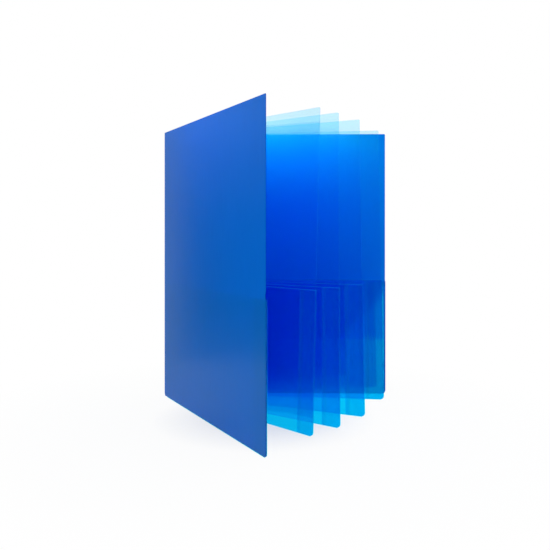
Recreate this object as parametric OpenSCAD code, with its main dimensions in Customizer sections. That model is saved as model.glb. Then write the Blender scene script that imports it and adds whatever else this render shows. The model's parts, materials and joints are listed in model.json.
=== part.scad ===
// Multi-pocket folder of thin plastic sheet, standing open on its lower edges.
// A front cover, a narrow spine and a rear cover are joined by two folds. Four clear leaves
// are welded to the spine by their root tabs. Both covers have a pocket on their inner face,
// and each leaf has a pocket film wrapped round its lower edge, so it has a pocket on each face.
// The origin is the middle of the spine's lower edge, and the rear cover lies along +X.

/* [Covers] */
// Width of a cover, from its fold to its fore edge
cover_w = 240; // [236:1:320]
// Height of the folder
cover_h = 295; // [200:1:360]
// Thickness of the cover sheet
cover_t = 0.5; // [0.3:0.05:0.6]
// Radius of the rounded lower corners of covers, leaves and pockets
foot_r = 3; // [1:0.5:8]
// Radius of the upper corners at the fore edge
head_r = 1; // [0.5:0.5:6]

/* [Spine] */
// Width of the spine, from fold to fold
spine_w = 16; // [14:0.5:30]
// How far the round bead of a fold stands proud of its sheet
bead = 0.1; // [0.05:0.05:0.2]
// Clearance between a fold's bead and the sheet that it turns on
fold_gap = 0.15; // [0.05:0.05:0.3]

/* [Opening] */
// Angle between the covers as the folder stands
opening = 60; // [20:1:120]
// Turn of leaf 1 from the square of the spine, as a share of half the opening
leaf_1_fan = 0.47; // [0.3:0.01:0.8]
// Turn of leaf 2, counted the same way, towards the front cover
leaf_2_fan = 0.2; // [0.05:0.01:0.3]
// Turn of leaf 3, where a negative share leans to the rear cover
leaf_3_fan = -0.17; // [-0.4:0.01:0.05]
// Turn of leaf 4, counted the same way
leaf_4_fan = -0.77; // [-0.8:0.01:-0.5]

/* [Leaves] */
// Width of leaf 1, from its hinge to its fore edge
leaf_1_w = 223; // [150:1:234]
// Width of leaf 2
leaf_2_w = 224; // [150:1:234]
// Width of leaf 3
leaf_3_w = 227; // [150:1:234]
// Width of leaf 4
leaf_4_w = 234; // [150:1:236]
// Thickness of the leaf sheet and of its pocket film
leaf_t = 0.3; // [0.2:0.05:0.35]
// Height of a leaf's lowest edge above the floor
leaf_lift = 1; // [0.5:0.5:5]
// Distance of a leaf's upper edge below the top of the covers
leaf_drop = 1; // [0.5:0.5:10]
// Bare strip of spine between two root tabs
root_tab_gap = 0.8; // [0.5:0.1:1.2]

/* [Pockets] */
// Height of the leaf pockets above the floor
leaf_pocket_h = 131.5; // [60:0.5:180]
// Height of the cover pockets above the floor
cover_pocket_h = 128; // [60:1:180]
// Distance of a pocket's inner edge from the fold or hinge
pocket_inset = 8; // [5:1:30]
// Width of the tab that closes a pocket at its fore edge
tab_w = 20; // [18:1:40]
// Distance that a leaf's pocket reaches past the leaf's own fore edge
pocket_proud = 0.5; // [0.2:0.1:1.5]
// Width of the weld seam that holds a pocket to its tab
weld_w = 4; // [2:0.5:6]
// Distance of the weld seam from the pocket's fore edge
weld_inset = 15; // [8:0.5:15]
// Depth to which the weld seam is pressed into the film
weld_depth = 0.08; // [0.03:0.01:0.1]
// Depth of the relief notch in the front cover's fore edge, above the folded tab
notch_depth = 1; // [0.4:0.1:2]
// Height of that notch
notch_h = 7; // [4:0.5:14]

/* [Hidden] */
$fn = 48;

leaf_widths = [leaf_1_w, leaf_2_w, leaf_3_w, leaf_4_w];
leaf_fans = [leaf_1_fan, leaf_2_fan, leaf_3_fan, leaf_4_fan];
leaf_count = len(leaf_widths);
half_opening = opening / 2;

// Folds of the cover sheet: the bead of one panel, and where the next panel is cut back
cover_bead_r = cover_t / 2 + bead;
cover_cut = cover_bead_r + fold_gap;

// A cover, the folded tab and the pocket lie face to face, so the fold below them is three sheets thick
cover_fold_r = 1.5 * cover_t;
cover_fold_hollow_r = cover_fold_r - cover_t;

// Leaf roots stand in even steps along the spine
leaf_pitch = spine_w / (leaf_count + 1);
leaf_bead_r = leaf_t / 2 + bead;
leaf_axis_x = cover_t / 2 + leaf_t + fold_gap + leaf_bead_r;
root_tab_w = leaf_pitch - root_tab_gap - leaf_bead_r;

// A leaf lies between two tabs and two pocket walls, so its fold is five sheets thick
leaf_fold_r = 2.5 * leaf_t;
leaf_fold_hollow_r = leaf_fold_r - leaf_t;
leaf_foot = leaf_lift + leaf_fold_r;
leaf_head = cover_h - leaf_drop;

// Circle whose segment makes the relief notch
notch_r = (pow(notch_h / 2, 2) + pow(notch_depth, 2)) / (2 * notch_depth);

// Extra reach of a cutting shape past the face that it cuts
over = 1;

cover_blue = [0.02, 0.3, 0.75];
spine_blue = [0.02, 0.26, 0.68];
leaf_blue = [0.45, 0.78, 0.95, 0.5];
film_blue = [0.35, 0.72, 0.95, 0.5];
tab_blue = [0.2, 0.6, 0.92, 0.6];

function leaf_y(i) = leaf_pitch * i - spine_w / 2;
function leaf_w(i) = leaf_widths[i - 1];
function leaf_turn(i) = -leaf_fans[i - 1] * half_opening;

// Frame of the spine: x points into the folder, and y runs from the front fold to the rear fold
module at_spine() {
    rotate([0, 0, -half_opening])
        children();
}

// Frame of a cover or leaf: x runs from its fold to its fore edge, y is through the sheet
module at_rear() {
    at_spine()
        translate([0, spine_w / 2, 0])
            rotate([0, 0, half_opening])
                children();
}

module at_front() {
    at_spine()
        translate([0, -spine_w / 2, 0])
            rotate([0, 0, -half_opening])
                children();
}

module at_leaf(i) {
    at_spine()
        translate([leaf_axis_x, leaf_y(i), 0])
            rotate([0, 0, leaf_turn(i)])
                children();
}

// Waste outside a round corner whose point is at the origin
module corner_waste(r) {
    difference() {
        translate([-over, -over])
            square(r + over);
        translate([r, r])
            circle(r);
    }
}

// Outline of a sheet from x0 to x1 and from z0 to z1, with its fore edge at x1
module sheet_outline(x0, x1, z0, z1, fore_foot_r, fore_head_r = 0, root_foot_r = 0) {
    difference() {
        translate([x0, z0])
            square([x1 - x0, z1 - z0]);
        if (fore_foot_r > 0)
            translate([x1, z0])
                rotate([0, 0, 90])
                    corner_waste(fore_foot_r);
        if (fore_head_r > 0)
            translate([x1, z1])
                rotate([0, 0, 180])
                    corner_waste(fore_head_r);
        if (root_foot_r > 0)
            translate([x0, z0])
                corner_waste(root_foot_r);
    }
}

// An outline stood upright as a sheet of thickness t, centred on y
module sheet(t, y = 0) {
    translate([0, y, 0])
        rotate([90, 0, 0])
            linear_extrude(t, center = true)
                children();
}

// Round bead along a fold or hinge line
module fold_bead(r, z0, z1) {
    translate([0, 0, z0])
        cylinder(r = r, h = z1 - z0);
}

// Half-round fold that closes two sheets at their fore edge x
module fore_fold(x, y, r, z0, z1) {
    translate([x, y, z0])
        difference() {
            cylinder(r = r, h = z1 - z0);
            translate([-r - over, -r - over, -over])
                cube([r + over, 2 * (r + over), z1 - z0 + 2 * over]);
        }
}

// Half-round trough under a pocket, from x0 to x1, with its two rims at height z
module bottom_fold(x0, x1, y, z, r, hollow_r) {
    translate([x0, y, z])
        rotate([0, 90, 0])
            linear_extrude(x1 - x0)
                difference() {
                    circle(r);
                    circle(hollow_r);
                    translate([-r - over, -r - over])
                        square([r + over, 2 * (r + over)]);
                }
}

// Pocket wall with its pressed weld seam, on the face that side (+1 or -1) points to
module pocket_wall(t, y, x1, z0, z1, side) {
    difference() {
        sheet(t, y)
            sheet_outline(pocket_inset, x1, z0, z1, foot_r);
        translate([x1 - weld_inset - weld_w, y + side * t / 2 - weld_depth, z0 - over])
            cube([weld_w, 2 * weld_depth, z1 - z0 + 2 * over]);
    }
}

// Tab with the fold at its fore edge, where the fold also closes the sheet beside it.
// A core inside the tab and the fold makes them one piece.
module pocket_tab(t, y, fold_y, x1, z0, z1) {
    core_y = (y + fold_y) / 2;
    core_t = t / 4;
    fold_z0 = z0 + foot_r;
    sheet(t, y)
        sheet_outline(x1 - tab_w, x1, z0, z1, foot_r);
    fore_fold(x1, fold_y, t, fold_z0, z1);
    translate([x1 - t / 2, core_y - core_t / 2, fold_z0])
        cube([t, core_t, z1 - fold_z0]);
}

// Cover sheet from x0
module cover_sheet(x0) {
    sheet(cover_t)
        sheet_outline(x0, cover_w, cover_fold_r, cover_h, foot_r, head_r, foot_r);
}

// Shallow round cut in a cover's fore edge, just above its pocket
module relief_notch() {
    translate([cover_w - notch_depth + notch_r, 0, cover_pocket_h + notch_h / 2])
        rotate([90, 0, 0])
            cylinder(r = notch_r, h = cover_t + 2 * over, center = true);
}

module cover_pocket(side) {
    pocket_wall(cover_t, side * 2 * cover_t, cover_w, cover_fold_r, cover_pocket_h, side);
}

module cover_pocket_tab(side) {
    pocket_tab(cover_t, side * cover_t, side * cover_t / 2, cover_w, cover_fold_r, cover_pocket_h);
}

module cover_pocket_fold(side) {
    bottom_fold(
        pocket_inset, cover_w - foot_r, side * cover_t,
        cover_fold_r, cover_fold_r, cover_fold_hollow_r
    );
}

// The rear cover's inner face looks to -y of its frame, the front cover's to +y
module rear_cover() {
    color(cover_blue)
        at_rear()
            cover_sheet(cover_cut);
}

module rear_pocket() {
    color(cover_blue)
        at_rear()
            cover_pocket(-1);
}

module rear_pocket_tab() {
    color(cover_blue)
        at_rear()
            cover_pocket_tab(-1);
}

module rear_pocket_fold() {
    color(cover_blue)
        at_rear()
            cover_pocket_fold(-1);
}

module front_cover() {
    color(cover_blue)
        at_front() {
            difference() {
                cover_sheet(0);
                relief_notch();
            }
            fold_bead(cover_bead_r, cover_fold_r + foot_r, cover_h);
        }
}

module front_pocket() {
    color(cover_blue)
        at_front()
            cover_pocket(1);
}

module front_pocket_tab() {
    color(cover_blue)
        at_front()
            cover_pocket_tab(1);
}

module front_pocket_fold() {
    color(cover_blue)
        at_front()
            cover_pocket_fold(1);
}

// Spine from the cut beside the front fold to the bead of the rear fold
module spine_panel() {
    color(spine_blue)
        at_spine() {
            translate([-cover_t / 2, cover_cut - spine_w / 2, 0])
                cube([cover_t, spine_w - cover_cut, cover_h]);
            translate([0, spine_w / 2, 0])
                fold_bead(cover_bead_r, 0, cover_h);
        }
}

// Flange of a leaf, welded flat on the spine beside the leaf's hinge line
module leaf_root_tab(i) {
    color(tab_blue)
        at_spine()
            translate([cover_t / 2, leaf_y(i) - leaf_bead_r, leaf_foot])
                cube([leaf_t, root_tab_w + leaf_bead_r, leaf_head - leaf_foot]);
}

module leaf_sheet(i) {
    color(leaf_blue)
        at_leaf(i) {
            sheet(leaf_t)
                sheet_outline(0, leaf_w(i), leaf_foot, leaf_head, foot_r, head_r);
            fold_bead(leaf_bead_r, leaf_foot, leaf_head);
        }
}

// Walls and tabs on one face of a leaf: side -1 faces the front cover, +1 the rear cover
module leaf_pocket(i, side) {
    color(film_blue)
        at_leaf(i)
            pocket_wall(leaf_t, side * 2 * leaf_t, leaf_w(i) + pocket_proud, leaf_foot, leaf_pocket_h, side);
}

module leaf_tab(i, side) {
    color(tab_blue)
        at_leaf(i)
            pocket_tab(
                leaf_t, side * leaf_t, side * 1.5 * leaf_t,
                leaf_w(i) + pocket_proud, leaf_foot, leaf_pocket_h
            );
}

module leaf_bottom_fold(i) {
    color(film_blue)
        at_leaf(i)
            bottom_fold(
                pocket_inset, leaf_w(i) + pocket_proud - foot_r, 0,
                leaf_foot, leaf_fold_r, leaf_fold_hollow_r
            );
}

rear_cover();
rear_pocket();
rear_pocket_tab();
rear_pocket_fold();
spine_panel();
front_cover();
front_pocket();
front_pocket_tab();
front_pocket_fold();
for (i = [1 : leaf_count]) {
    leaf = str("leaf_", i);
    leaf_root_tab(i);
    leaf_sheet(i);
    leaf_pocket(i, -1);
    leaf_pocket(i, 1);
    leaf_tab(i, -1);
    leaf_tab(i, 1);
    leaf_bottom_fold(i);
}
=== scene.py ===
import json
import math

import bmesh
import bpy
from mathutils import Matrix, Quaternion, Vector


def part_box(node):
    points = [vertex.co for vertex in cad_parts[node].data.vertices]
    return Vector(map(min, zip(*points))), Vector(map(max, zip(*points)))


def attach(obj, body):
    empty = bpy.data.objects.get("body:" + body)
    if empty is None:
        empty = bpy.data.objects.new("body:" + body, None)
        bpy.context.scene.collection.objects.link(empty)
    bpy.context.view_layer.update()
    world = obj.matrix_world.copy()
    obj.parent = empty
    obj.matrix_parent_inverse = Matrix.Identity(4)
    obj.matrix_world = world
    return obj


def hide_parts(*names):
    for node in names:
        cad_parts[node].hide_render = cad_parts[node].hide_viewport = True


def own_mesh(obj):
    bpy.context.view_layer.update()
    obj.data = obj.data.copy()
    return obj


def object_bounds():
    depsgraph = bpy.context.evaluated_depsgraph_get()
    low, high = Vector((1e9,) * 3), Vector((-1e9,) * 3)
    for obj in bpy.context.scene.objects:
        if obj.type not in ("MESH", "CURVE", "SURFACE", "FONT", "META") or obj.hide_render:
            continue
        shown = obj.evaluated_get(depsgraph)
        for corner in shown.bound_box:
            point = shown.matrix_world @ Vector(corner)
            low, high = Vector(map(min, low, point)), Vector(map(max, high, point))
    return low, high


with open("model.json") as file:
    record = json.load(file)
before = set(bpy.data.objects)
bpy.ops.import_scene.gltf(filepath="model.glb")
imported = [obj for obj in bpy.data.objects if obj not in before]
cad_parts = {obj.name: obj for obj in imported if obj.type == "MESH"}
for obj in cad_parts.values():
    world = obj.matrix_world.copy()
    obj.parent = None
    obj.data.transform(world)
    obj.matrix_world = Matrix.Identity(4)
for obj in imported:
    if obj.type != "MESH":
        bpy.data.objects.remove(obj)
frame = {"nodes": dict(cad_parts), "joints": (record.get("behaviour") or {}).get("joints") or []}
cad_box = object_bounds()
nodes = frame["nodes"]
joints = {joint["name"]: joint for joint in frame["joints"]}
scene = bpy.context.scene

# Lengths are in metres, and colours are linear

# Pieces of the part
LEAF_COUNT = 4
LEAF_PIECES = ("sheet", "front_pocket", "back_pocket", "front_tab", "back_tab", "bottom_fold")
COVER_POCKET_NODES = ("rear_pocket", "front_pocket", "rear_pocket_fold", "front_pocket_fold")
UP = Vector((0, 0, 1))

# How each thin leaf stands, at the head and the foot of its fore edge:
# bent out of its plane, positive towards the rear cover, and leaning in its plane, positive outwards
LEAF_BEND = {1: (0.0022, -0.0018), 2: (-0.0008, 0.0008), 3: (-0.0022, 0.0016), 4: (-0.0014, 0.0010)}
LEAF_LEAN = {1: (0.0032, -0.0026), 2: (0.0, 0.0), 3: (-0.0027, 0.0010), 4: (-0.0031, 0.0022)}

# Belly of each leaf halfway to its fore edge, out of its plane
LEAF_BELLY = {1: 0.0004, 2: -0.0004, 3: 0.0004, 4: -0.0006}

# Weld seam of a leaf's pocket, as its distance from the pocket's fore edge
WELD_NEAR = 0.0148
WELD_FAR = 0.0192

# Height of the bright line along the mouth of a leaf's pocket
MOUTH_LINE = 0.0003

# Meshes: the step of a leaf's grid, the angles that stay sharp or count as flat, and how near points are one
GRID_STEP = 0.015
SHARP_ANGLE = math.radians(3)
FLAT_ANGLE = math.radians(0.5)
MERGE_DISTANCE = 1e-6
CUT_DISTANCE = 1e-7

# How far a face turns to a direction, as a cosine: aslant on a cover, squarely on a leaf
ASLANT = 0.3
SQUARELY = 0.9

# Textures, in features per metre, with their stretch along each axis
CLOUD_SCALE = 7.0
LINE_SCALE = 60.0
LINE_STRETCH = (14, 14, 0.6)
LINE_DETAIL = 2.0
COVER_GRAIN_SCALE = 2600.0
COVER_EDGE_SCALE = 300.0
THICKNESS_SCALE = 9.0
SCUFF_SCALE = 420.0
SCUFF_STRETCH = (1, 1, 0.25)
WAVE_SCALE = 14.0
WAVE_STRETCH = (1.6, 1.6, 0.7)
WAVE_DETAIL = 1.0
FILM_EDGE_SCALE = 900.0
FILM_EDGE_STRETCH = (1, 1, 3.0)
FLOOR_SCALE = 3.0

# Parts of a noise that a colour and a number run through
COLOUR_PART = (0.35, 0.65)
NUMBER_PART = (0.3, 0.7)

# Depth of the fine reliefs, and how strongly each of them turns the light
FINE_RELIEF = 0.0001
GRAIN_STRENGTH = 0.12
SCUFF_STRENGTH = 0.03
WAVE_STRENGTH = 1.0

# Finish of the covers
COVER_SPECULAR = 0.15
COVER_ROUGHNESS = (0.21, 0.26)
COVER_GLOW_SHARE = 0.42

# Finish of the films: how much deeper their tint gets, and how fast their gloss rises towards a low angle
TINT_SPREAD = 0.2
FILM_ROUGHNESS = (0.03, 0.08)
GLOSS_BLEND = 0.5
GLOSS_POWER = 1.4
FILM_EDGE_CLOUD = (0.5, 0.7)
BOTH_SIDES = 0.5

# Shine of each film: its gloss when seen squarely, the rise of it at a low angle, and the depth of its waves
COVER_POCKET_SHINE = (0.22, 0.2, 0.0003)
LEAF_SHINE = (0.002, 0.4, 0.001)
POCKET_SHINE = (0.011, 0.06, 0.004)
TAB_SHINE = (0.003, 0.03, 0.002)

# Where the shine of the rear cover's pocket ends, just before the fore edge, along X
COVER_POCKET_FADE = (0.2418, 0.2428)

# Change of a leaf's tint to that of its head, as heights and the share there; the head tint is painted light,
# a cyan glow where light falls in at the open head
LEAF_GLOW_HEIGHTS = ((0.262, 0.0), (0.28, 1.0))

# Haze of each film, as heights and the share of scattered light there
# A leaf's haze rises tenfold towards its head: real haze lit by the mouth lamp, and in its rise a painted
# glow of light at the open head
LEAF_HAZE_AND_HEAD_GLOW = ((0.0, 0.005), (0.20, 0.005), (0.30, 0.05))
POCKET_HAZE = ((0.0, 0.01), (0.06, 0.006))
COVER_POCKET_HAZE = ((0.0, 0.015), (0.06, 0.01))
TAB_HAZE = ((0.0, 0.03), (0.06, 0.028))
WELD_HAZE = ((0.0, 0.045), (0.06, 0.045))

# Colours of the part
COVER_DEEP = (0.0, 0.32, 0.81, 1)
COVER_PALE = (0.0, 0.34, 0.85, 1)
COVER_GLOW_DEEP = (0.0, 0.31, 0.90, 1)
COVER_GLOW_PALE = (0.001, 0.34, 0.94, 1)
COVER_SHEEN = (0.3, 0.75, 1.0, 1)
COVER_EDGE_DEEP = (0.0, 0.15, 0.62, 1)
COVER_EDGE_PALE = (0.01, 0.20, 0.75, 1)
COVER_POCKET_TINT = (0.45, 0.99, 0.9995)
LEAF_TINT = (0.825, 0.912, 0.998)
# Painted cyan glow: a leaf's head lets more green and less blue through, where light falls in at the open
# head
LEAF_HEAD_GLOW_TINT = (0.82, 0.936, 0.984)
POCKET_TINT = (0.26, 0.93, 0.9995)
TAB_TINT = (0.5, 0.95, 0.999)
LEAF_GLOSS = (0.85, 0.97, 1.0, 1)
POCKET_GLOSS = (0.04, 0.97, 1.0, 1)
HAZE_DEEP = (0.0, 0.88, 0.95, 1)
HAZE_PALE = (0.02, 0.95, 1.0, 1)
EDGE_DEEP = (0.0, 0.32, 0.92, 1)
EDGE_PALE = (0.04, 0.45, 1.0, 1)

# Floor: half of its side, its gap under the folder, the middle of the folder's foot,
# and how much plain white shows at a distance from that middle
FLOOR_HALF = 12.0
FLOOR_GAP = 0.0002
FLOOR_MIDDLE = (0.11, -0.09)
FLOOR_WHITE = ((0.045, 0.65), (0.11, 0.95), (0.33, 1.0))
FLOOR_DEEP = (0.78, 0.85, 0.94, 1)
FLOOR_PALE = (0.80, 0.87, 0.96, 1)

# World: the light that it gives, and the white that is seen of it
WORLD_LIGHT = (0.93, 0.97, 1.0, 1)
WORLD_STRENGTH = 0.40
BACKDROP = (1, 1, 1, 1)
BACKDROP_STRENGTH = 1.0

# Side card, which the front cover mirrors: a glowing sheet seen only in reflections, which paints the sheen
# of the front cover and its darker middle; its grey is given as heights and the level there
SIDE_CARD_FOOT = (-0.249, 0.013, 0.0)
SIDE_CARD_FACING = (0.844, -0.537, 0.0)
SIDE_CARD_ROLL = 0.0
SIDE_CARD_SIZE = (0.24, 0.36)
SIDE_CARD_REFLECTION_GREY = ((0.0, 0.25), (0.07, 0.03), (0.12, 0.0), (0.21, 0.04), (0.30, 0.42), (0.36, 1.0))

# Front card, which the inside mirrors: a glowing sheet seen only in reflections, which paints blue
# reflections on the leaves and the rear cover; its two colours meet between two heights above its foot
FRONT_CARD_FOOT = (0.6406, -0.39, -0.2896)
FRONT_CARD_FACING = (0.0, 1.0, 0.0)
FRONT_CARD_ROLL = math.radians(-45)
FRONT_CARD_SIZE = (1.7, 0.88)
FRONT_CARD_REFLECTION_LOW = (0.4, 0.6, 1.0, 1)
FRONT_CARD_REFLECTION_HIGH = (0.1, 0.2, 0.75, 1)
FRONT_CARD_TURN = (0.495, 0.505)

# Lamps: a large one overhead, and a small one over the open head of the folder
TOP_LIGHT_PLACE = (0.12, -0.20, 0.95)
TOP_LIGHT_SIZE = (0.9, 0.9)
TOP_LIGHT_POWER = 4.0
TOP_LIGHT_TURN = 0.0
MOUTH_LIGHT_PLACE = (0.155, -0.074, 0.325)
MOUTH_LIGHT_SIZE = (0.16, 0.07)
MOUTH_LIGHT_POWER = 0.28
MOUTH_LIGHT_TURN = math.radians(-30)

# The photograph's view
IMAGE_SIZE = 550
FOCAL_PIXELS = 665.7
HORIZON_ROW = 234.67
SENSOR = 36.0
CAMERA_PLACE = (0.13341, -0.75114, 0.18083)
CAMERA_YAW = math.radians(1.076)
CAMERA_LEVEL = math.radians(90)
CLIP_START = 0.01

# Clear layers that one ray may pass
CLEAR_LAYERS = 128


# Materials

def new_material(name):
    material = bpy.data.materials.new(name)
    material.use_nodes = True
    material.node_tree.nodes.clear()
    return material, material.node_tree


def add(tree, kind, **values):
    node = tree.nodes.new(kind)
    for name, value in values.items():
        setattr(node, name, value)
    return node


def noise(tree, scale, stretch=(1, 1, 1), detail=3.0):
    """Noise in the piece's own coordinates, in features per metre."""
    place = add(tree, "ShaderNodeTexCoord")
    mapping = add(tree, "ShaderNodeMapping")
    mapping.inputs["Scale"].default_value = stretch
    texture = add(tree, "ShaderNodeTexNoise")
    texture.inputs["Scale"].default_value = scale
    texture.inputs["Detail"].default_value = detail
    tree.links.new(place.outputs["Object"], mapping.inputs["Vector"])
    tree.links.new(mapping.outputs["Vector"], texture.inputs["Vector"])
    return texture.outputs["Fac"]


def own_place(tree, axis):
    """Place along one axis of the piece's own coordinates."""
    place = add(tree, "ShaderNodeTexCoord")
    split = add(tree, "ShaderNodeSeparateXYZ")
    tree.links.new(place.outputs["Object"], split.inputs["Vector"])
    return split.outputs[axis]


def ramp(tree, value, low, high, at=COLOUR_PART):
    """Colour that goes from low to high as the value crosses a span."""
    node = add(tree, "ShaderNodeValToRGB")
    node.color_ramp.elements[0].position = at[0]
    node.color_ramp.elements[0].color = low
    node.color_ramp.elements[1].position = at[1]
    node.color_ramp.elements[1].color = high
    tree.links.new(value, node.inputs["Fac"])
    return node.outputs["Color"]


def graded(tree, value, stops, easing):
    """Grey that runs through the stops, each of them a place and the level there."""
    node = add(tree, "ShaderNodeValToRGB")
    node.color_ramp.interpolation = easing
    elements = node.color_ramp.elements
    while len(elements) < len(stops):
        elements.new(1.0)
    for element, (place, level) in zip(elements, stops):
        element.position = place
        element.color = (level, level, level, 1)
    tree.links.new(value, node.inputs["Fac"])
    return node.outputs["Color"]


def span(tree, value, low, high, at=NUMBER_PART):
    """Number that goes from low to high as the value crosses a span."""
    node = add(tree, "ShaderNodeMapRange")
    node.inputs["From Min"].default_value = at[0]
    node.inputs["From Max"].default_value = at[1]
    node.inputs["To Min"].default_value = low
    node.inputs["To Max"].default_value = high
    tree.links.new(value, node.inputs["Value"])
    return node.outputs["Result"]


def product(tree, first, second):
    node = add(tree, "ShaderNodeMath", operation="MULTIPLY")
    tree.links.new(first, node.inputs[0])
    tree.links.new(second, node.inputs[1])
    return node.outputs["Value"]


def bump(tree, relief, strength, distance, under=None):
    """Normal of a relief, which may lie on the normal of another one."""
    node = add(tree, "ShaderNodeBump")
    node.inputs["Strength"].default_value = strength
    node.inputs["Distance"].default_value = distance
    tree.links.new(relief, node.inputs["Height"])
    if under is not None:
        tree.links.new(under, node.inputs["Normal"])
    return node.outputs["Normal"]


def mixed(tree, first, second, share):
    """Two shaders mixed by a number or by a node's output."""
    node = add(tree, "ShaderNodeMixShader")
    if isinstance(share, float):
        node.inputs["Fac"].default_value = share
    else:
        tree.links.new(share, node.inputs["Fac"])
    tree.links.new(first, node.inputs[1])
    tree.links.new(second, node.inputs[2])
    return node.outputs["Shader"]


def finish_material(tree, shader):
    out = add(tree, "ShaderNodeOutputMaterial")
    tree.links.new(shader, out.inputs["Surface"])


def cover_material(name):
    """Satin polypropylene sheet that lets light through, with fine grain and faint drawing lines."""
    material, tree = new_material(name)
    cloud = noise(tree, CLOUD_SCALE)
    lines = noise(tree, LINE_SCALE, LINE_STRETCH, LINE_DETAIL)
    grain = noise(tree, COVER_GRAIN_SCALE)
    normal = bump(tree, grain, GRAIN_STRENGTH, FINE_RELIEF)
    body = add(tree, "ShaderNodeBsdfPrincipled")
    body.inputs["Specular IOR Level"].default_value = COVER_SPECULAR
    body.inputs["Specular Tint"].default_value = COVER_SHEEN
    tree.links.new(ramp(tree, cloud, COVER_DEEP, COVER_PALE), body.inputs["Base Color"])
    tree.links.new(span(tree, lines, *COVER_ROUGHNESS), body.inputs["Roughness"])
    tree.links.new(normal, body.inputs["Normal"])
    glow = add(tree, "ShaderNodeBsdfTranslucent")
    tree.links.new(ramp(tree, lines, COVER_GLOW_DEEP, COVER_GLOW_PALE), glow.inputs["Color"])
    finish_material(tree, mixed(tree, body.outputs["BSDF"], glow.outputs["BSDF"], COVER_GLOW_SHARE))
    return material


def tint(tree, colour):
    """Straight-through colour of a film, a little deeper where the film is thicker."""
    thin = (*colour, 1)
    thick = (*(channel ** (1 + TINT_SPREAD) for channel in colour), 1)
    clear = add(tree, "ShaderNodeBsdfTransparent")
    tree.links.new(ramp(tree, noise(tree, THICKNESS_SCALE), thick, thin), clear.inputs["Color"])
    return clear.outputs["BSDF"]


def cloudy(tree, colour):
    """Body that scatters light to both of its sides."""
    body = add(tree, "ShaderNodeBsdfDiffuse")
    tree.links.new(colour, body.inputs["Color"])
    glow = add(tree, "ShaderNodeBsdfTranslucent")
    tree.links.new(colour, glow.inputs["Color"])
    return mixed(tree, body.outputs["BSDF"], glow.outputs["BSDF"], BOTH_SIDES)


def gloss_share(tree, floor, rise):
    """Share of gloss, which rises from its floor towards a low angle."""
    facing = add(tree, "ShaderNodeLayerWeight")
    facing.inputs["Blend"].default_value = GLOSS_BLEND
    power = add(tree, "ShaderNodeMath", operation="POWER")
    power.inputs[1].default_value = GLOSS_POWER
    tree.links.new(facing.outputs["Facing"], power.inputs[0])
    share = add(tree, "ShaderNodeMath", operation="MULTIPLY_ADD")
    share.inputs[1].default_value = rise
    share.inputs[2].default_value = floor
    tree.links.new(power.outputs["Value"], share.inputs[0])
    return share.outputs["Value"]


def film_material(name, colour, haze, gloss_colour, shine, glow_head_colour=None, fade=None):
    """Clear tinted film with a haze that changes with height, gentle waves, and a gloss on top; on a leaf the
    haze rises at the head, a painted glow of light there.
    Its head may have a tint of its own, which paints a cyan glow of light, and its gloss may end at a place
    along X."""
    material, tree = new_material(name)
    gloss_floor, gloss_rise, wave = shine
    scuffs = noise(tree, SCUFF_SCALE, SCUFF_STRETCH)
    milk = cloudy(tree, ramp(tree, scuffs, HAZE_DEEP, HAZE_PALE))
    clear = tint(tree, colour)
    # A head tint paints a cyan glow of light at the leaf's open head
    if glow_head_colour is not None:
        head = tint(tree, glow_head_colour)
        clear = mixed(tree, clear, head, graded(tree, own_place(tree, "Z"), LEAF_GLOW_HEIGHTS, "EASE"))
    # For a leaf, the haze that rises at its head paints a glow of light there
    body = mixed(tree, clear, milk, graded(tree, own_place(tree, "Z"), haze, "EASE"))
    gloss = add(tree, "ShaderNodeBsdfGlossy")
    gloss.inputs["Color"].default_value = gloss_colour
    tree.links.new(span(tree, scuffs, *FILM_ROUGHNESS), gloss.inputs["Roughness"])
    waves = bump(tree, noise(tree, WAVE_SCALE, WAVE_STRETCH, WAVE_DETAIL), WAVE_STRENGTH, wave)
    tree.links.new(bump(tree, scuffs, SCUFF_STRENGTH, FINE_RELIEF, waves), gloss.inputs["Normal"])
    share = gloss_share(tree, gloss_floor, gloss_rise)
    if fade is not None:
        share = product(tree, share, span(tree, own_place(tree, "X"), 1.0, 0.0, fade))
    finish_material(tree, mixed(tree, body, gloss.outputs["BSDF"], share))
    return material


def cover_edge_material(name):
    """Cut edge of a cover, which gathers light and shows as a thin line."""
    material, tree = new_material(name)
    grain = noise(tree, COVER_EDGE_SCALE)
    finish_material(tree, cloudy(tree, ramp(tree, grain, COVER_EDGE_DEEP, COVER_EDGE_PALE)))
    return material


def film_edge_material(name):
    """Cut edge of a film, cloudy from the knife."""
    material, tree = new_material(name)
    grain = noise(tree, FILM_EDGE_SCALE, FILM_EDGE_STRETCH)
    haze = cloudy(tree, ramp(tree, grain, EDGE_DEEP, EDGE_PALE))
    finish_material(tree, mixed(tree, tint(tree, LEAF_TINT), haze, span(tree, grain, *FILM_EDGE_CLOUD)))
    return material


COVER = cover_material("cover_sheet")
COVER_EDGE = cover_edge_material("cover_cut_edge")
COVER_POCKET = film_material("cover_pocket_sheet", COVER_POCKET_TINT, COVER_POCKET_HAZE, POCKET_GLOSS,
                             COVER_POCKET_SHINE, fade=COVER_POCKET_FADE)
# The leaf film paints a cyan glow at its head, by its head tint and its rising haze
LEAF = film_material("leaf_film", LEAF_TINT, LEAF_HAZE_AND_HEAD_GLOW, LEAF_GLOSS, LEAF_SHINE, LEAF_HEAD_GLOW_TINT)
POCKET = film_material("pocket_film", POCKET_TINT, POCKET_HAZE, POCKET_GLOSS, POCKET_SHINE)
TAB = film_material("tab_film", TAB_TINT, TAB_HAZE, POCKET_GLOSS, TAB_SHINE)
WELD = film_material("pocket_weld", POCKET_TINT, WELD_HAZE, POCKET_GLOSS, POCKET_SHINE)
FILM_EDGE = film_edge_material("film_cut_edge")


def set_material(obj, material):
    obj.data.materials.clear()
    obj.data.materials.append(material)


# Sheets, copied from the solids so that their cut edges and seams get a finish of their own

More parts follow.
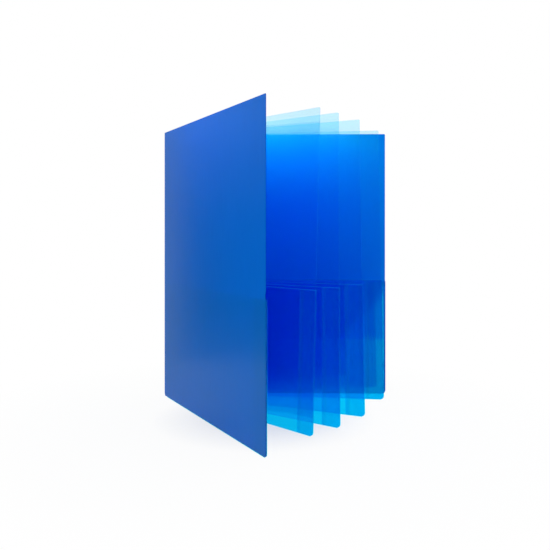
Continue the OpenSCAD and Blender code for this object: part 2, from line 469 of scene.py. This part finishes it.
def sheet_frame(node, hinge_name):
    """Fold line of a sheet, its directions to the fore edge and across its face, and its width."""
    hinge = Vector(joints[hinge_name]["pos_m"])
    points = [vert.co for vert in nodes[node].data.vertices]
    fore = max(points, key=lambda point: (point - hinge).xy.length)
    along = (fore - hinge).to_2d().to_3d()
    width = along.length
    along.normalize()
    return hinge, along, Vector((-along.y, along.x, 0)), width


def clean_copy(node):
    """Mesh of a solid with each flat face in one piece."""
    mesh = bmesh.new()
    mesh.from_mesh(nodes[node].data)
    bmesh.ops.remove_doubles(mesh, verts=mesh.verts[:], dist=MERGE_DISTANCE)
    bmesh.ops.dissolve_limit(mesh, angle_limit=FLAT_ANGLE, verts=mesh.verts[:], edges=mesh.edges[:])
    return mesh


def finished_piece(mesh, node, body, materials):
    """Piece that shows in place of a solid and rides on its body."""
    for face in mesh.faces:
        face.smooth = True
    name = node + "_film"
    data = bpy.data.meshes.new(name)
    mesh.to_mesh(data)
    mesh.free()
    data.set_sharp_from_angle(angle=SHARP_ANGLE)
    piece = bpy.data.objects.new(name, data)
    scene.collection.objects.link(piece)
    for material in materials:
        data.materials.append(material)
    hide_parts(node)
    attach(piece, body)
    return piece


# Covers and spine

def cover_copy(node, body, material):
    """Copy of a sheet of one cover, with the edge finish on its cut edges and round its fore edge."""
    hinge, along, across, width = sheet_frame(body + "_cover", body + "_fold")
    mesh = clean_copy(node)
    for face in mesh.faces:
        reach = (face.calc_center_median() - hinge).dot(along)
        is_end = abs(face.normal.z) > ASLANT or reach > width / 2
        is_cut = abs(face.normal.dot(across)) < ASLANT and is_end
        face.material_index = 1 if is_cut or reach > width else 0
    finished_piece(mesh, node, body, (material, COVER_EDGE))


for name, obj in nodes.items():
    if name in COVER_POCKET_NODES:
        set_material(obj, COVER_POCKET)
    elif name.endswith("root_tab"):
        set_material(obj, LEAF)
    elif name == "spine_panel":
        set_material(obj, COVER)
for body in ("rear", "front"):
    cover_copy(body + "_cover", body, COVER)
    cover_copy(body + "_pocket_tab", body, COVER_POCKET)


# Leaves stand a little bent and out of square, as thin film does

def share_between(pair, rise):
    """Value at a height between the foot, 0, and the head, 1."""
    head, foot = pair
    return foot + (head - foot) * rise


def cut_once(mesh, direction, place):
    everything = mesh.verts[:] + mesh.edges[:] + mesh.faces[:]
    bmesh.ops.bisect_plane(mesh, geom=everything, dist=CUT_DISTANCE, plane_co=place, plane_no=direction)


def cut_in_steps(mesh, direction, start, length):
    count = max(1, round(length / GRID_STEP))
    for step in range(1, count):
        cut_once(mesh, direction, start + direction * (length * step / count))


def leaf_copy(index, kind, material, slot):
    """Copy of one piece of a leaf, cut into a grid, bent, and finished on its edges, mouth and weld."""
    node = f"leaf_{index}_{kind}"
    hinge, along, across, width = sheet_frame(f"leaf_{index}_sheet", f"leaf_{index}_hinge")
    low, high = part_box(f"leaf_{index}_sheet")
    height = high.z - low.z
    mesh = clean_copy(node)
    pocket_width = max((vert.co - hinge).dot(along) for vert in mesh.verts)
    mouth = max(vert.co.z for vert in mesh.verts) - MOUTH_LINE
    cut_in_steps(mesh, along, hinge, width)
    cut_in_steps(mesh, UP, hinge + UP * low.z, height)
    cut_once(mesh, UP, UP * mouth)
    is_pocket = kind.endswith("pocket")
    for face in mesh.faces:
        centre = face.calc_center_median()
        inset = pocket_width - (centre - hinge).dot(along)
        is_wall = abs(face.normal.dot(across)) > SQUARELY
        is_cut = abs(face.normal.z) > SQUARELY or (is_pocket and centre.z > mouth)
        is_cut = is_cut or (kind == "sheet" and face.normal.dot(along) > SQUARELY)
        face.material_index = 0
        if is_cut and kind != "bottom_fold":
            face.material_index = 1
        elif is_wall and is_pocket and WELD_NEAR < inset < WELD_FAR:
            face.material_index = 2
    for vert in mesh.verts:
        reach = max(0.0, (vert.co - hinge).dot(along) / width)
        rise = (vert.co.z - low.z) / height
        belly = LEAF_BELLY[index] * math.sin(math.pi * min(1.0, reach))
        vert.co += across * (share_between(LEAF_BEND[index], rise) * reach * reach + belly)
        vert.co += along * (share_between(LEAF_LEAN[index], rise) * reach)
    piece = finished_piece(mesh, node, f"leaf_{index}", (material, FILM_EDGE, WELD))
    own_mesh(piece)


FILM_OF = {"sheet": (LEAF, "leaf_film"), "bottom_fold": (POCKET, "pocket_film"),
           "front_pocket": (POCKET, "pocket_film"), "back_pocket": (POCKET, "pocket_film"),
           "front_tab": (TAB, "tab_film"), "back_tab": (TAB, "tab_film")}
for index in range(1, LEAF_COUNT + 1):
    for kind in LEAF_PIECES:
        leaf_copy(index, kind, *FILM_OF[kind])


# Floor, light and camera

def seen_directly(tree):
    """One where a surface is seen, mirrored or looked at through glass, and not where it only gives light."""
    path = add(tree, "ShaderNodeLightPath")
    seen = path.outputs["Is Camera Ray"]
    for ray in ("Is Glossy Ray", "Is Transmission Ray"):
        either = add(tree, "ShaderNodeMath", operation="MAXIMUM")
        tree.links.new(seen, either.inputs[0])
        tree.links.new(path.outputs[ray], either.inputs[1])
        seen = either.outputs["Value"]
    return seen


def floor_material():
    """Pale paper that keeps the shadow near the object and turns to the white backdrop further out."""
    material, tree = new_material("floor_paper")
    body = add(tree, "ShaderNodeBsdfDiffuse")
    tree.links.new(ramp(tree, noise(tree, FLOOR_SCALE), FLOOR_DEEP, FLOOR_PALE), body.inputs["Color"])
    white = add(tree, "ShaderNodeEmission")
    place = add(tree, "ShaderNodeTexCoord")
    distance = add(tree, "ShaderNodeVectorMath", operation="LENGTH")
    tree.links.new(place.outputs["Object"], distance.inputs[0])
    fade = graded(tree, distance.outputs["Value"], FLOOR_WHITE, "LINEAR")
    share = product(tree, seen_directly(tree), fade)
    finish_material(tree, mixed(tree, body.outputs["BSDF"], white.outputs["Emission"], share))
    return material


def two_tone_reflection_material(name, low, high, turn):
    """One glowing colour near the card's foot and another above it, which meet between two heights: a painted
    reflection.
    """
    material, tree = new_material(name)
    glow = add(tree, "ShaderNodeEmission")
    tree.links.new(ramp(tree, own_place(tree, "Y"), low, high, turn), glow.inputs["Color"])
    finish_material(tree, glow.outputs["Emission"])
    return material


def graded_reflection_material(name, stops):
    """Glowing grey that changes with the height above the card's foot: a painted reflection."""
    material, tree = new_material(name)
    glow = add(tree, "ShaderNodeEmission")
    tree.links.new(graded(tree, own_place(tree, "Y"), stops, "LINEAR"), glow.inputs["Color"])
    finish_material(tree, glow.outputs["Emission"])
    return material


def make_floor():
    mesh = bmesh.new()
    bmesh.ops.create_grid(mesh, x_segments=1, y_segments=1, size=FLOOR_HALF)
    data = bpy.data.meshes.new("floor")
    mesh.to_mesh(data)
    mesh.free()
    floor = bpy.data.objects.new("floor", data)
    floor.location = (*FLOOR_MIDDLE, cad_box[0][2] - FLOOR_GAP)
    scene.collection.objects.link(floor)
    set_material(floor, floor_material())


def make_world():
    """Soft even light from all round, in front of a white backdrop."""
    world = bpy.data.worlds.new("studio")
    world.use_nodes = True
    tree = world.node_tree
    tree.nodes.clear()
    light = add(tree, "ShaderNodeBackground")
    light.inputs["Color"].default_value = WORLD_LIGHT
    light.inputs["Strength"].default_value = WORLD_STRENGTH
    backdrop = add(tree, "ShaderNodeBackground")
    backdrop.inputs["Color"].default_value = BACKDROP
    backdrop.inputs["Strength"].default_value = BACKDROP_STRENGTH
    shader = mixed(tree, light.outputs["Background"], backdrop.outputs["Background"], seen_directly(tree))
    out = add(tree, "ShaderNodeOutputWorld")
    tree.links.new(shader, out.inputs["Surface"])
    scene.world = world


def make_reflection_card(name, foot, facing, roll, size, material):
    """Upright glowing card, rolled about the middle of its foot, which only glossy rays see: it paints what
    the glossy sheets mirror.
    """
    wide, high = size
    mesh = bmesh.new()
    bmesh.ops.create_grid(mesh, x_segments=1, y_segments=1, size=0.5)
    bmesh.ops.translate(mesh, vec=(0, 0.5, 0), verts=mesh.verts[:])
    bmesh.ops.scale(mesh, vec=(wide, high, 1), verts=mesh.verts[:])
    data = bpy.data.meshes.new(name)
    mesh.to_mesh(data)
    mesh.free()
    card = bpy.data.objects.new(name, data)
    card.location = foot
    upright = Vector(facing).to_track_quat("Z", "Y")
    card.rotation_euler = (upright @ Quaternion((0, 0, 1), roll)).to_euler()
    for ray in ("camera", "diffuse", "transmission", "shadow"):
        setattr(card, "visible_" + ray, False)
    scene.collection.objects.link(card)
    set_material(card, material)


def area_light(name, place, size, power, turn):
    """Soft rectangular lamp that shines straight down, turned about its beam."""
    data = bpy.data.lights.new(name, "AREA")
    data.shape = "RECTANGLE"
    data.size, data.size_y = size
    data.energy = power
    lamp = bpy.data.objects.new(name, data)
    lamp.location = place
    lamp.rotation_euler = (0, 0, turn)
    lamp.visible_camera = False
    scene.collection.objects.link(lamp)


def make_camera():
    """Level camera, shifted so that the horizon lies on the photograph's row."""
    data = bpy.data.cameras.new("camera")
    data.sensor_width = SENSOR
    data.lens = FOCAL_PIXELS / IMAGE_SIZE * SENSOR
    data.shift_y = -(IMAGE_SIZE / 2 - HORIZON_ROW) / IMAGE_SIZE
    data.clip_start = CLIP_START
    camera = bpy.data.objects.new("camera", data)
    camera.location = CAMERA_PLACE
    camera.rotation_euler = (CAMERA_LEVEL, 0, CAMERA_YAW)
    scene.collection.objects.link(camera)
    scene.camera = camera


make_floor()
make_world()
# Painted reflection: the side card glows only for glossy rays and shapes the front cover's sheen
make_reflection_card("side_reflection_card", SIDE_CARD_FOOT, SIDE_CARD_FACING, SIDE_CARD_ROLL, SIDE_CARD_SIZE,
          graded_reflection_material("side_reflection_card", SIDE_CARD_REFLECTION_GREY))
# Painted reflection: the front card glows only for glossy rays and tints what the leaves and the rear cover
# mirror
make_reflection_card("front_reflection_card", FRONT_CARD_FOOT, FRONT_CARD_FACING, FRONT_CARD_ROLL, FRONT_CARD_SIZE,
          two_tone_reflection_material("front_reflection_card", FRONT_CARD_REFLECTION_LOW, FRONT_CARD_REFLECTION_HIGH, FRONT_CARD_TURN))
area_light("top_light", TOP_LIGHT_PLACE, TOP_LIGHT_SIZE, TOP_LIGHT_POWER, TOP_LIGHT_TURN)
area_light("mouth_light", MOUTH_LIGHT_PLACE, MOUTH_LIGHT_SIZE, MOUTH_LIGHT_POWER, MOUTH_LIGHT_TURN)
make_camera()
scene.view_settings.view_transform = "Standard"
scene.cycles.transparent_max_bounces = CLEAR_LAYERS

bpy.context.view_layer.update()
